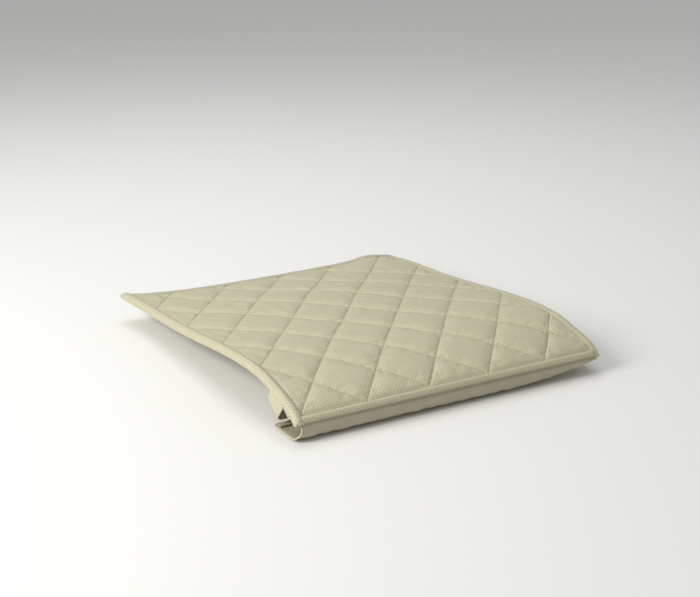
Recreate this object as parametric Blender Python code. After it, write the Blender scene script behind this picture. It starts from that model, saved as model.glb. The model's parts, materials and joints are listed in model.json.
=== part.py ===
"""Quilted leatherette seat pad for an office chair: a thin bound pad with a front pocket,
two corner tabs and two rear straps. Metres, +Z up, X across the pad, the front faces -Y."""
import bpy
import bmesh
from math import cos, dist, pi, radians, sin, sqrt
from mathutils import Vector

# the pad
pad_width = 0.500            # across the outer faces of the side bindings
pad_length = 0.585           # front edge to rear edge, measured along the top face
top_thickness = 0.0012       # perforated leatherette
foam_thickness = 0.0065
backing_thickness = 0.0008
layer_gap = 0.0003           # left between pieces that touch
seam_gap = 0.0008            # a hanging piece turns on its seam this far below the bound edge
binding_thickness = 0.0012
binding_width = 0.0115       # how far a binding reaches in over the pad

# side view of the top face: slope at distances from the front edge
front_roll = 0.036           # the pad rolls over the chair's front rail down to here
waterfall_end = 0.090
crest = 0.135
dip_start = 0.205
flat_start = 0.275
flat_end = 0.350
rear_start = 0.430
front_slope = radians(51)
waterfall_slope = radians(15)
crest_slope = radians(1)
dip_slope = radians(-4)
flat_slope = radians(-6)
rear_slope = radians(-2)
roll_steps = 5

# front pocket
apron_thickness = 0.0012
apron_inset = 0.0085         # each end stops this far inside the pad's side
pocket_depth = 0.0235        # seam down to the outside of the pocket's floor
pocket_reach = 0.060         # front face back to the hem
pocket_bend = 0.012          # outer radius where the front turns under
elastic_thickness = 0.0020
elastic_width = 0.0100
piping_radius = 0.0011
piping_start = 0.0025        # the piping begins this far below the seam

# corner tabs
tab_thickness = 0.0012
tab_front = 0.042            # along the side edge, from the front edge
tab_rear = 0.077
tab_front_drop = 0.019       # straight part below the seam
tab_rear_drop = 0.006
tab_bend = 0.009             # radius where it turns under the side rail
tab_tuck = 0.007             # straight part under the rail
tab_front_lean = 0.45        # each unit down moves the front edge this much to the rear
tab_rear_lean = 0.35
roll_clearance = 1.1         # the roll's middle, in rolls beyond the tab's edge, because the edge leans
roll_corner = 0.85           # where the roll's corners are rounded, in rolls

# rear straps
strap_spacing = 0.280        # middle to middle
strap_width = 0.025
strap_thickness = 0.0015
strap_loop = 0.034           # inside of the loop, front to rear
strap_bend = 0.010           # outer radius of its bends
patch_length = 0.038
hook_thickness = 0.0015
loop_thickness = 0.0018
patch_margin = 0.0012        # the patches are this much narrower than the strap, each side

bend_steps = 5
round_sides = 8
smooth_angle = radians(35)   # edges sharper than this stay sharp
seam_set_in = 0.00085        # a hanging piece's middle lies this far inside the bound edge

half_width = pad_width / 2
core_depth = top_thickness + foam_thickness + backing_thickness + 2 * layer_gap
bound_outer = (core_depth + 2 * layer_gap) / 2 + binding_thickness
bound_inner = bound_outer - binding_thickness
bound_middle = -core_depth / 2
core_inset = bound_outer + layer_gap


# ---------- the pad's side view ----------

def side_stations():
    """Distance and slope of each station along the top face."""
    knots = [(0.0, front_slope), (front_roll, waterfall_slope), (waterfall_end, waterfall_slope),
             (crest, crest_slope), (dip_start, dip_slope), (flat_start, flat_slope),
             (flat_end, flat_slope), (rear_start, rear_slope), (pad_length, rear_slope)]
    stations = []
    for (start, slope), (end, next_slope) in zip(knots, knots[1:]):
        steps = roll_steps if start == 0.0 else (1 if slope == next_slope else 2)
        for step in range(steps):
            share = step / steps
            stations.append((start + (end - start) * share, slope + (next_slope - slope) * share))
    stations.append(knots[-1])
    return stations


def side_line():
    """Stations as (distance, y, z, normal y, normal z), with straight runs between them."""
    stations = side_stations()
    line = []
    y = z = 0.0
    for index, (distance, slope) in enumerate(stations):
        if index:
            run = distance - stations[index - 1][0]
            middle = (slope + stations[index - 1][1]) / 2
            y += run * cos(middle)
            z += run * sin(middle)
        line.append((distance, y, z, -sin(slope), cos(slope)))
    return line


line = side_line()


def on_pad(distance, height):
    """(y, z) at a distance from the front edge and a height above the top face."""
    for low, high in zip(line, line[1:]):
        if distance <= high[0] or high is line[-1]:
            share = (distance - low[0]) / (high[0] - low[0])
            y, z, ny, nz = (a + (b - a) * share for a, b in zip(low[1:], high[1:]))
            return y + ny * height, z + nz * height


def distances(start, end):
    """The stations from start to end, with both ends."""
    inner = [station[0] for station in line if start + 1e-6 < station[0] < end - 1e-6]
    return [start] + inner + [end]


front_arc = on_pad(bound_outer, bound_middle)
rear_arc = on_pad(pad_length - bound_outer, bound_middle)
front_y = front_arc[0] - bound_outer
rear_y = rear_arc[0] + bound_outer
front_end = min(front_y, on_pad(0.0, bound_middle + bound_outer)[0])
rear_end = max(rear_y, on_pad(pad_length, bound_middle + bound_outer)[0])
middle_y = (front_end + rear_end) / 2


def bound_arc(radius):
    """(reach in from the edge, height) round a bound edge, from its top to its underside."""
    steps = 2 * bend_steps
    return [(bound_outer + radius * cos(pi / 2 + pi * step / steps),
             bound_middle + radius * sin(pi / 2 + pi * step / steps)) for step in range(steps + 1)]


def seam_height(edge, inward, y):
    """Height at which a piece hanging at y clears the underside of the front or rear edge."""
    underside = [on_pad(edge + inward * reach, height) for reach, height in bound_arc(bound_outer)]
    heights = []
    for (y1, z1), (y2, z2) in zip(underside, underside[1:]):
        if (y - y1) * (y - y2) <= 0 and y1 != y2:
            heights.append(z1 + (z2 - z1) * (y - y1) / (y2 - y1))
    return min(heights) - seam_gap


apron_y = front_y + seam_set_in
apron_z = seam_height(0.0, 1, apron_y + apron_thickness / 2)
floor_z = apron_z - pocket_depth
strap_y = rear_y - seam_set_in
strap_z = seam_height(pad_length, -1, strap_y - strap_thickness / 2)


# ---------- making a solid ----------

for old in list(bpy.data.objects):
    bpy.data.objects.remove(old, do_unlink=True)
frame = bpy.data.objects.new("seat_pad_frame", None)
frame.location = (0, -middle_y, -floor_z)
bpy.context.scene.collection.objects.link(frame)


def material(name, colour, roughness):
    found = bpy.data.materials.get(name)
    if found:
        return found
    made = bpy.data.materials.new(name)
    made.use_nodes = True
    shader = made.node_tree.nodes["Principled BSDF"]
    shader.inputs["Base Color"].default_value = (*colour, 1)
    shader.inputs["Roughness"].default_value = roughness
    shader.inputs["Metallic"].default_value = 0.0
    return made


def perforated_leatherette():
    return material("perforated_leatherette", (0.56, 0.53, 0.37), 0.48)


def smooth_leatherette():
    return material("smooth_leatherette", (0.54, 0.51, 0.36), 0.45)


def loft(name, rings, finish, origin=(0, 0, 0)):
    """Solid through rings of points, with its object's origin at origin."""
    mesh = bmesh.new()
    start = Vector(origin)
    loops = [[mesh.verts.new(Vector(point) - start) for point in ring] for ring in rings]
    count = len(rings[0])
    for low, high in zip(loops, loops[1:]):
        for index in range(count):
            after = (index + 1) % count
            mesh.faces.new((low[index], low[after], high[after], high[index]))
    mesh.faces.new(loops[0][::-1])
    mesh.faces.new(loops[-1])
    bmesh.ops.recalc_face_normals(mesh, faces=mesh.faces)
    data = bpy.data.meshes.new(name)
    mesh.to_mesh(data)
    mesh.free()
    data.shade_smooth()
    data.set_sharp_from_angle(angle=smooth_angle)
    data.materials.append(finish)
    made = bpy.data.objects.new(name, data)
    made.location = start
    made.parent = frame
    bpy.context.scene.collection.objects.link(made)
    return made


def across(name, outline, left, right, finish, origin=(0, 0, 0)):
    """Solid with one (y, z) outline from left to right."""
    rings = [[(x, y, z) for y, z in outline] for x in (left, right)]
    return loft(name, rings, finish, origin)


def walk(start, heading, moves):
    """(a, b) points of a path: each move is a run, or an (angle, radius) turn."""
    a, b = start
    points = [start]
    for move in moves:
        if isinstance(move, tuple):
            angle, radius = move
            side = 1 if angle > 0 else -1
            centre = (a - side * radius * sin(heading), b + side * radius * cos(heading))
            for step in range(1, bend_steps + 1):
                at = heading + angle * step / bend_steps
                points.append((centre[0] + side * radius * sin(at), centre[1] - side * radius * cos(at)))
            heading += angle
        else:
            points.append((a + move * cos(heading), b + move * sin(heading)))
        a, b = points[-1]
    return points


def beside(points, offset):
    """The path moved sideways, to its left for a positive offset."""
    moved = []
    for index, point in enumerate(points):
        before = points[max(index - 1, 0)]
        after = points[min(index + 1, len(points) - 1)]
        da, db = after[0] - before[0], after[1] - before[1]
        length = sqrt(da * da + db * db)
        ends = index in (0, len(points) - 1)
        stretch = 1.0
        if not ends:
            ra, rb = point[0] - before[0], point[1] - before[1]
            run = sqrt(ra * ra + rb * rb)
            stretch = 1 / max((ra * da + rb * db) / (run * length), 0.5)
        moved.append((point[0] - db / length * offset * stretch, point[1] + da / length * offset * stretch))
    return moved


def band(points, thickness):
    """Outline of a strip of cloth along a path."""
    return beside(points, thickness / 2) + beside(points, -thickness / 2)[::-1]


def tube(name, points, radius, finish, origin=(0, 0, 0)):
    """Round roll through 3-D points."""
    points = [Vector(point) for point in points]
    rings = []
    side = None
    for index, point in enumerate(points):
        along = points[min(index + 1, len(points) - 1)] - points[max(index - 1, 0)]
        along.normalize()
        if side is None:
            side = along.orthogonal()
        side = (side - along * side.dot(along)).normalized()
        up = along.cross(side)
        rings.append([point + (side * cos(turn) + up * sin(turn)) * radius
                      for turn in (2 * pi * step / round_sides for step in range(round_sides))])
    return loft(name, rings, finish, origin)


# ---------- the pad ----------

def layer(name, top, thickness, finish):
    """One flat layer of the pad, from its top height down."""
    run = distances(core_inset, pad_length - core_inset)
    outline = [on_pad(d, top) for d in run] + [on_pad(d, top - thickness) for d in run[::-1]]
    side = half_width - core_inset
    return across(name, outline, -side, side, finish)


def binding_section():
    """(reach in from the edge, height) of a bound edge: a C round the pad's layers."""
    outer = [(binding_width, bound_middle + bound_outer)] + bound_arc(bound_outer)
    outer.append((binding_width, bound_middle - bound_outer))
    inner = [(binding_width, bound_middle + bound_inner)] + bound_arc(bound_inner)
    inner.append((binding_width, bound_middle - bound_inner))
    return outer + inner[::-1]


def side_binding(name, side):
    section = binding_section()
    rings = []
    for distance in distances(0.0, pad_length):
        ring = []
        for reach, height in section:
            y, z = on_pad(distance, height)
            ring.append((side * (half_width - reach), y, z))
        rings.append(ring)
    return loft(name, rings, perforated_leatherette())


def end_binding(name, edge, inward):
    outline = [on_pad(edge + inward * reach, height) for reach, height in binding_section()]
    side = half_width - binding_width - layer_gap
    return across(name, outline, -side, side, perforated_leatherette())


def pad():
    grey = material("backing_cloth", (0.62, 0.60, 0.55), 0.9)
    foam = material("quilting_foam", (0.80, 0.76, 0.62), 0.9)
    foam_top = -top_thickness - layer_gap
    backing_top = foam_top - foam_thickness - layer_gap
    layer("quilted_top", 0.0, top_thickness, perforated_leatherette())
    layer("foam_sheet", foam_top, foam_thickness, foam)
    layer("backing_cloth", backing_top, backing_thickness, grey)
    side_binding("binding_left", -1)
    side_binding("binding_right", 1)
    end_binding("binding_front", 0.0, 1)
    end_binding("binding_rear", pad_length, -1)


# ---------- front pocket ----------

def front_pocket():
    origin = (0, apron_y, apron_z)
    half_length = half_width - apron_inset
    middle_bend = pocket_bend - apron_thickness / 2
    slot = elastic_thickness + 2 * layer_gap
    hem_turn = (slot + apron_thickness) / 2
    fold = elastic_width + 2 * layer_gap
    down = pocket_depth - pocket_bend
    back = pocket_reach - pocket_bend - hem_turn
    front_and_floor = walk((apron_y, apron_z), -pi / 2, [down, (pi / 2, middle_bend), back])
    hem = walk(front_and_floor[-1], 0.0, [(pi, hem_turn), fold])
    across("front_apron", band(front_and_floor + hem[1:], apron_thickness),
           -half_length, half_length, smooth_leatherette(), origin)

    hem_y, hem_z = front_and_floor[-1]
    low = hem_z + apron_thickness / 2 + layer_gap
    rear = hem_y
    elastic = [(rear - elastic_width, low), (rear, low),
               (rear, low + elastic_thickness), (rear - elastic_width, low + elastic_thickness)]
    across("hem_elastic", elastic, -half_length, half_length,
           material("elastic_braid", (0.80, 0.78, 0.72), 0.85), origin)

    roll = beside(front_and_floor, piping_radius - apron_thickness / 2)
    roll[0] = (roll[0][0], roll[0][1] - piping_start)
    for side, word in ((-1, "left"), (1, "right")):
        x = side * (half_length + layer_gap + piping_radius)
        tube("apron_piping_" + word, [(x, y, z) for y, z in roll], piping_radius,
             smooth_leatherette(), origin)


# ---------- corner tabs ----------

def tab_frame():
    """Straight run of the side edge that the tabs hang from: point, along and down in (y, z)."""
    low = on_pad(front_roll, 0)
    high = on_pad(waterfall_end, 0)
    run = dist(low, high)
    along = ((high[0] - low[0]) / run, (high[1] - low[1]) / run)
    return low, along


def corner_tab(side, word):
    """Tab round the side rail, with a rolled edge down its rear, along its tuck and up its front."""
    low, along = tab_frame()
    x_seam = half_width - seam_set_in
    reach = bound_outer - seam_set_in - tab_thickness / 2
    fall = -bound_middle + sqrt((bound_outer + seam_gap) ** 2 - reach ** 2)

    def place(x, drop, distance):
        ahead = distance - front_roll
        y = low[0] + along[0] * ahead - along[1] * drop
        z = low[1] + along[1] * ahead + along[0] * drop
        return side * x, y, z

    def edge(start, lean, straight, offset, away):
        """One long edge of the tab: its path moved sideways by offset and outwards by away."""
        moves = [straight, (-pi / 2, tab_bend - tab_thickness / 2), tab_tuck]
        path = walk((x_seam, -fall), -pi / 2, moves)
        length = 0.0
        spots = []
        for index, spot in enumerate(beside(path, offset)):
            if index:
                length += dist(path[index], path[index - 1])
            spots.append([spot[0], spot[1], start + lean * length + away])
        return spots

    half = tab_thickness / 2
    corners = [edge(tab_front, tab_front_lean, tab_front_drop, half, 0),
               edge(tab_rear, tab_rear_lean, tab_rear_drop, half, 0),
               edge(tab_rear, tab_rear_lean, tab_rear_drop, -half, 0),
               edge(tab_front, tab_front_lean, tab_front_drop, -half, 0)]
    origin = place(x_seam, -fall, (tab_front + tab_rear) / 2)
    loft("corner_tab_" + word, [[place(*spot) for spot in ring] for ring in zip(*corners)],
         smooth_leatherette(), origin)

    away = layer_gap + piping_radius
    beyond = roll_clearance * away
    turn = roll_corner * away
    flush = half - piping_radius
    rear = edge(tab_rear, tab_rear_lean, tab_rear_drop, flush, beyond)
    front = edge(tab_front, tab_front_lean, tab_front_drop, flush, -beyond)
    for side_roll, lean in ((rear, tab_rear_lean), (front, tab_front_lean)):
        side_roll[0][1] -= piping_start
        side_roll[0][2] += lean * piping_start
    last = rear[-1][0]
    rear_turn = [last - turn, rear[-1][1], rear[-1][2] - (beyond - turn)]
    front_turn = [last - turn, front[-1][1], front[-1][2] + (beyond - turn)]
    rear_end = [last - away, rear[-1][1], rear[-1][2] - 2 * away]
    front_end = [last - away, front[-1][1], front[-1][2] + 2 * away]
    roll = rear + [rear_turn, rear_end, front_end, front_turn] + front[::-1]
    tube("tab_piping_" + word, [place(*spot) for spot in roll], piping_radius,
         smooth_leatherette(), origin)


# ---------- rear straps ----------

def rear_strap(side, word):
    """Hook-and-loop strap: down behind the rear rail, forward under it and up to the backing."""
    middle = side * strap_spacing / 2
    half = strap_width / 2
    origin = (middle, strap_y, strap_z)
    webbing = material("strap_webbing", (0.70, 0.67, 0.55), 0.8)
    hook = material("hook_tape", (0.74, 0.72, 0.63), 0.85)
    loop = material("loop_tape", (0.76, 0.74, 0.66), 0.95)

    # the patches lie on the straight run of backing in front of the loop
    bend = strap_bend - strap_thickness / 2
    front_leg = strap_y - strap_loop - strap_thickness
    patch_end = front_leg - strap_bend
    patch_start = patch_end - patch_length
    slope = -rear_slope
    backing_face = -core_depth
    loop_top = backing_face - layer_gap
    hook_top = loop_top - loop_thickness - layer_gap
    strap_top = hook_top - hook_thickness - layer_gap

    def under(y, height):
        """Point under the rear of the pad at a y, a height above its top face."""
        low, high = line[-2], line[-1]
        share = (y + sin(rear_slope) * height - low[1]) / (high[1] - low[1])
        return y, low[2] + (high[2] - low[2]) * share + cos(rear_slope) * height

    def block(name, top, thickness, finish, at=(0, 0, 0)):
        width = half - patch_margin
        outline = [under(patch_start, top), under(patch_end, top),
                   under(patch_end, top - thickness), under(patch_start, top - thickness)]
        return across(name, outline, middle - width, middle + width, finish, at)

    block("loop_patch_" + word, loop_top, loop_thickness, loop)
    block("hook_patch_" + word, hook_top, hook_thickness, hook, origin)

    floor = floor_z + strap_thickness / 2
    down = strap_z - floor - bend
    forward = strap_y - front_leg - 2 * bend
    rise = under(front_leg, strap_top - strap_thickness / 2)[1] - floor - 2 * bend
    path = walk((strap_y, strap_z), -pi / 2, [down, (-pi / 2, bend), forward, (-pi / 2, bend), rise,
                                              (pi / 2 - slope, bend), patch_length])
    across("rear_strap_" + word, band(path, strap_thickness), middle - half, middle + half,
           webbing, origin)
    return origin


pad()
front_pocket()
for side, word in ((-1, "left"), (1, "right")):
    corner_tab(side, word)
    rear_strap(side, word)
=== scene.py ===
import json
import random
from math import cos, dist, hypot, pi, radians, sin

import bmesh
import bpy
import numpy as np
from mathutils import Matrix, Quaternion, Vector


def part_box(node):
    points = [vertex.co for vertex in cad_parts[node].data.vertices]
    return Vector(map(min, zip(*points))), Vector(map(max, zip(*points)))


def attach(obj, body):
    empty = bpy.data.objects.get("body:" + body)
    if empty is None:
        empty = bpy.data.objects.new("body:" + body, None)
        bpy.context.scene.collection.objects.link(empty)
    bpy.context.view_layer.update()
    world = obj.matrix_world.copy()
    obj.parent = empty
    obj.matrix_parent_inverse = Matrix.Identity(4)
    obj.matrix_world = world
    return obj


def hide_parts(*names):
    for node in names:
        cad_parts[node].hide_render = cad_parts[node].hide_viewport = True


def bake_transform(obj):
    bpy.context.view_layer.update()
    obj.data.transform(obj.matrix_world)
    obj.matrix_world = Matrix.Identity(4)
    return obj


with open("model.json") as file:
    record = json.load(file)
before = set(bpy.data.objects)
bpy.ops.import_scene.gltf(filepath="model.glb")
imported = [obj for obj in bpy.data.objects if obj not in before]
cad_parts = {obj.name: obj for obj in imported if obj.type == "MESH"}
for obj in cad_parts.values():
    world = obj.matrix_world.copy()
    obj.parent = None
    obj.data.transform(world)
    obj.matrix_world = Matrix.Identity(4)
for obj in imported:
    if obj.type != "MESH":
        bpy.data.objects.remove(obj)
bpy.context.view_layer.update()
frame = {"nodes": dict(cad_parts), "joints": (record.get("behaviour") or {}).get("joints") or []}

scene = bpy.context.scene
mm = 0.001


# camera, floor and light

cameraSet = {
    "azimuth": -30.16, "elevation": 18.21, "roll": -0.28,   # degrees
    "distance": 2.093, "aim": (-0.0097, -0.0110, 0.0792), "lens": 71.3,
}


def makeCamera(s):
    turn, tilt = radians(s["azimuth"]), radians(s["elevation"])
    back = Vector((sin(turn) * cos(tilt), -cos(turn) * cos(tilt), sin(tilt)))
    data = bpy.data.cameras.new("camera")
    data.lens = s["lens"]
    data.sensor_width = 36
    data.clip_start = 0.01
    camera = bpy.data.objects.new("camera", data)
    camera.location = Vector(s["aim"]) + back * s["distance"]
    camera.rotation_mode = "QUATERNION"
    level = (-back).to_track_quat("-Z", "Y")
    camera.rotation_quaternion = level @ Quaternion((0, 0, 1), radians(s["roll"]))
    scene.collection.objects.link(camera)
    scene.camera = camera


def linear(colour):
    # sRGB hex to the linear values that a socket takes
    parts = [int(colour[i:i + 2], 16) / 255 for i in (1, 3, 5)]
    return [p / 12.92 if p <= 0.04045 else ((p + 0.055) / 1.055) ** 2.4 for p in parts] + [1]


def addNode(tree, kind, inputs=None, **settings):
    # one node, with its settings, and values or links on its inputs
    node = tree.nodes.new(kind)
    for name, value in settings.items():
        setattr(node, name, value)
    for name, value in (inputs or {}).items():
        if isinstance(value, bpy.types.NodeSocket):
            tree.links.new(value, node.inputs[name])
        else:
            node.inputs[name].default_value = value
    return node


def newMaterial(name):
    made = bpy.data.materials.new(name)
    made.use_nodes = True
    return made, made.node_tree, made.node_tree.nodes["Principled BSDF"]


def inMillimetres(tree, cut):
    # a piece's own place in mm: on its flat map where it was cut from cloth, else on itself
    if cut:
        place = addNode(tree, "ShaderNodeUVMap", uv_map="cut").outputs["UV"]
    else:
        place = addNode(tree, "ShaderNodeTexCoord").outputs["Object"]
    return addNode(tree, "ShaderNodeVectorMath", {0: place, 1: (1000, 1000, 1000)},
                   operation="MULTIPLY").outputs[0]


def blendColours(tree, share, start, end):
    return addNode(tree, "ShaderNodeMix", {0: share, 6: start, 7: end}, data_type="RGBA").outputs[2]


def addBump(tree, shader, height, strength, distance):
    bump = addNode(tree, "ShaderNodeBump", {"Height": height, "Strength": strength,
                                            "Distance": distance})
    tree.links.new(bump.outputs[0], shader.inputs["Normal"])


stageSet = {"floor": "#efefed", "floorSize": 14.0, "sky": "#ffffff", "skyLight": 0.44}
lightSet = [
    # name, place, size, watts, colour
    ("key_softbox", (-2.3, -0.1, 1.45), 1.2, 53, "#fffdf8"),
    ("top_softbox", (0.2, 1.1, 2.1), 1.4, 15, "#ffffff"),
]


def makeStage():
    bm = bmesh.new()
    bmesh.ops.create_grid(bm, x_segments=1, y_segments=1, size=stageSet["floorSize"] / 2)
    mesh = bpy.data.meshes.new("studio_floor")
    bm.to_mesh(mesh)
    bm.free()
    floor = bpy.data.objects.new("studio_floor", mesh)
    scene.collection.objects.link(floor)
    made, tree, shader = newMaterial("painted_studio_floor")
    shader.inputs["Base Color"].default_value = linear(stageSet["floor"])
    shader.inputs["Roughness"].default_value = 0.9
    mesh.materials.append(made)
    world = bpy.data.worlds.new("studio")
    world.use_nodes = True
    sky = world.node_tree.nodes["Background"]
    sky.inputs["Color"].default_value = linear(stageSet["sky"])
    sky.inputs["Strength"].default_value = stageSet["skyLight"]
    scene.world = world
    for name, place, size, watts, colour in lightSet:
        data = bpy.data.lights.new(name, "AREA")
        data.size = size
        data.energy = watts
        data.color = linear(colour)[:3]
        light = bpy.data.objects.new(name, data)
        light.location = place
        light.rotation_mode = "QUATERNION"
        light.rotation_quaternion = (-Vector(place)).to_track_quat("-Z", "Y")
        scene.collection.objects.link(light)


scene.view_settings.view_transform = "Standard"
makeCamera(cameraSet)
makeStage()
print("camera, floor and light made")


# the pad's own space: across, along the face from the front edge, and height above the face

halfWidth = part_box("binding_right")[1].x
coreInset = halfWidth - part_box("quilted_top")[1].x

shapeSet = {
    # how far the middle of the face stands above its sides, along the pad
    "crownAt": [-0.02, 0.0, 0.13, 0.26, 0.39, 0.52, 0.605],
    "crownRise": [2.6 * mm, 2.3 * mm, -5.5 * mm, -0.7 * mm, 9.2 * mm, -2.8 * mm, -6 * mm],
    # the rear corners: left and right, how far each stands up and is drawn outwards
    "cornerLift": (5 * mm, -5 * mm), "cornerDrawn": (9 * mm, 0), "cornerRun": 0.085,
    "smoothOver": 0.05,
    # the rear edge stands up a little beside the right corner
    "swell": 5 * mm, "swellAt": 0.197, "swellHalf": 0.034, "swellRun": 0.10,
}


def faceLine():
    # the face layer's corners stand in pairs a thickness apart, and the upper one is on the face
    corners = frame["nodes"]["quilted_top"].data.vertices
    spots = sorted({(round(v.co.y, 5), round(v.co.z, 5)) for v in corners})
    upper = []
    for spot in spots:
        close = [other for other in spots if 0 < dist(spot, other) < 2 * mm]
        if all(spot[1] > other[1] for other in close):
            upper.append(spot)
    runs = [dist(a, b) for a, b in zip(upper, upper[1:])]
    at = coreInset + np.concatenate([[0], np.cumsum(runs)])
    slope = [np.arctan2(b[1] - a[1], b[0] - a[0]) for a, b in zip(upper, upper[1:])]
    return at, np.array(slope), upper[0]


stationAt, stationSlope, lineStart = faceLine()
padLength = stationAt[-1] + coreInset
lineStep = 1 * mm
lineAt = np.arange(-0.03, padLength + 0.03, lineStep)
lineSlope = np.interp(lineAt, (stationAt[1:] + stationAt[:-1]) / 2, stationSlope)
lineY = np.cumsum(np.cos(lineSlope)) * lineStep
lineZ = np.cumsum(np.sin(lineSlope)) * lineStep
lineY += lineStart[0] - np.interp(coreInset, lineAt, lineY)
lineZ += lineStart[1] - np.interp(coreInset, lineAt, lineZ)
crownLine = np.interp(lineAt, shapeSet["crownAt"], shapeSet["crownRise"])
window = np.hanning(int(2 * shapeSet["smoothOver"] / lineStep))
padded = np.pad(crownLine, len(window), mode="edge")
crownLine = np.convolve(padded, window / window.sum(), mode="same")[len(window):-len(window)]


def ease(x):
    x = np.clip(x, 0, 1)
    return x * x * (3 - 2 * x)


def onPad(spots):
    # points in the pad's space to points in the room
    across, along, height = spots.T
    share = np.clip(np.abs(across) / halfWidth, 0, 1)
    lift = np.interp(along, lineAt, crownLine) * (1 - share ** 2)
    corner = ease((along - padLength + shapeSet["cornerRun"]) / shapeSet["cornerRun"]) * share ** 6
    right = across > 0
    lift = lift + corner * np.where(right, *shapeSet["cornerLift"][::-1])
    swell = np.exp(-((across - shapeSet["swellAt"]) / shapeSet["swellHalf"]) ** 2)
    rearmost = ease((along - padLength + shapeSet["swellRun"]) / shapeSet["swellRun"])
    lift = lift + swell * rearmost * shapeSet["swell"]
    drawn = corner * np.where(right, *shapeSet["cornerDrawn"][::-1])
    across, along = across + np.sign(across) * drawn, along + drawn
    slope = np.interp(along, lineAt, lineSlope)
    y = np.interp(along, lineAt, lineY) - np.sin(slope) * (height + lift)
    z = np.interp(along, lineAt, lineZ) + np.cos(slope) * (height + lift)
    return np.stack([across, y, z], axis=1)


def ripples(x, y, length, seed, stretch=1.0, count=9):
    # a smooth random field of about that wavelength, longer along y where stretch is over 1
    draw = random.Random(seed)
    total = np.zeros_like(x)
    for _ in range(count):
        turn = draw.uniform(0, pi)
        size = length * draw.uniform(0.7, 1.5)
        phase = draw.uniform(0, 2 * pi)
        total += np.sin(2 * pi * (x * cos(turn) + y * sin(turn) / stretch) / size + phase)
    return total / count ** 0.5


# tools for every piece

def shapeVerts(bm, place):
    spots = np.array([v.co for v in bm.verts]).reshape(-1, 3)
    for vert, spot in zip(bm.verts, place(spots)):
        vert.co = spot


def stampCut(bm):
    # the cloth's own map in metres, taken while it still lies flat
    layer = bm.loops.layers.uv.new("cut")
    for face in bm.faces:
        for loop in face.loops:
            loop[layer].uv = loop.vert.co.xy


def flatSheet(width, length, across, along):
    # a flat grid about the origin, stamped with its map
    bm = bmesh.new()
    bmesh.ops.create_grid(bm, x_segments=across, y_segments=along, size=0.5)
    bmesh.ops.scale(bm, vec=(width, length, 1), verts=bm.verts)
    stampCut(bm)
    return bm


def turnDown(bm):
    for face in bm.faces:
        if face.normal.z > 0:
            face.normal_flip()


def thicken(bm, thickness):
    # a flat sheet's thickness; returns the height of its middle
    bmesh.ops.solidify(bm, geom=bm.faces[:], thickness=thickness)
    heights = [v.co.z for v in bm.verts]
    return (max(heights) + min(heights)) / 2


def finishPiece(name, bm, material, body, nodes=()):
    bmesh.ops.recalc_face_normals(bm, faces=bm.faces)
    for face in bm.faces:
        face.smooth = True
    mesh = bpy.data.meshes.new(name)
    bm.to_mesh(mesh)
    bm.free()
    mesh.materials.append(material)
    piece = bpy.data.objects.new(name, mesh)
    scene.collection.objects.link(piece)
    if body:
        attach(piece, body)
    if nodes:
        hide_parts(*nodes)
    print("made", name, len(mesh.polygons), "faces")
    return piece


def smoothThrough(points, count):
    # count points on a smooth curve through the given ones, evenly spaced
    p = np.array(points, float)
    ends = np.vstack([2 * p[0] - p[1], p, 2 * p[-1] - p[-2]])
    fine = []
    for a, b, c, d in zip(ends, ends[1:], ends[2:], ends[3:]):
        for t in np.linspace(0, 1, 24, endpoint=False):
            fine.append(0.5 * (2 * b + (c - a) * t + (2 * a - 5 * b + 4 * c - d) * t ** 2
                               + (3 * b - a - 3 * c + d) * t ** 3))
    fine = np.array(fine + [p[-1]])
    at = np.concatenate([[0], np.cumsum(np.linalg.norm(np.diff(fine, axis=0), axis=1))])
    even = np.linspace(0, at[-1], count)
    return np.stack([np.interp(even, at, fine[:, k]) for k in range(p.shape[1])], axis=1), at[-1]


# finishes

leatherSet = {
    "colour": "#c5c1a4", "shade": "#bab697",
    # the apron's two tones are the face's made darker and a little browner: partly painted shade for
    # the apron's front, which faces away from the key light, and partly its own browner, matt skin
    "apron": "#b6b097", "apronShade": "#9c967e",
    # the hole colour is painted shade inside each punched hole, together with the darker foam that
    # shows through it
    "holeShadeAndFoam": "#7d7759", "holeAcross": 5.86, "holeRow": 4.0, "holeSize": 1.25,   # mm
    "holeSlant": 0.19,           # each row is set a little to the side of the one before
    "grain": 0.9, "roughness": 0.46,
}


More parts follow.
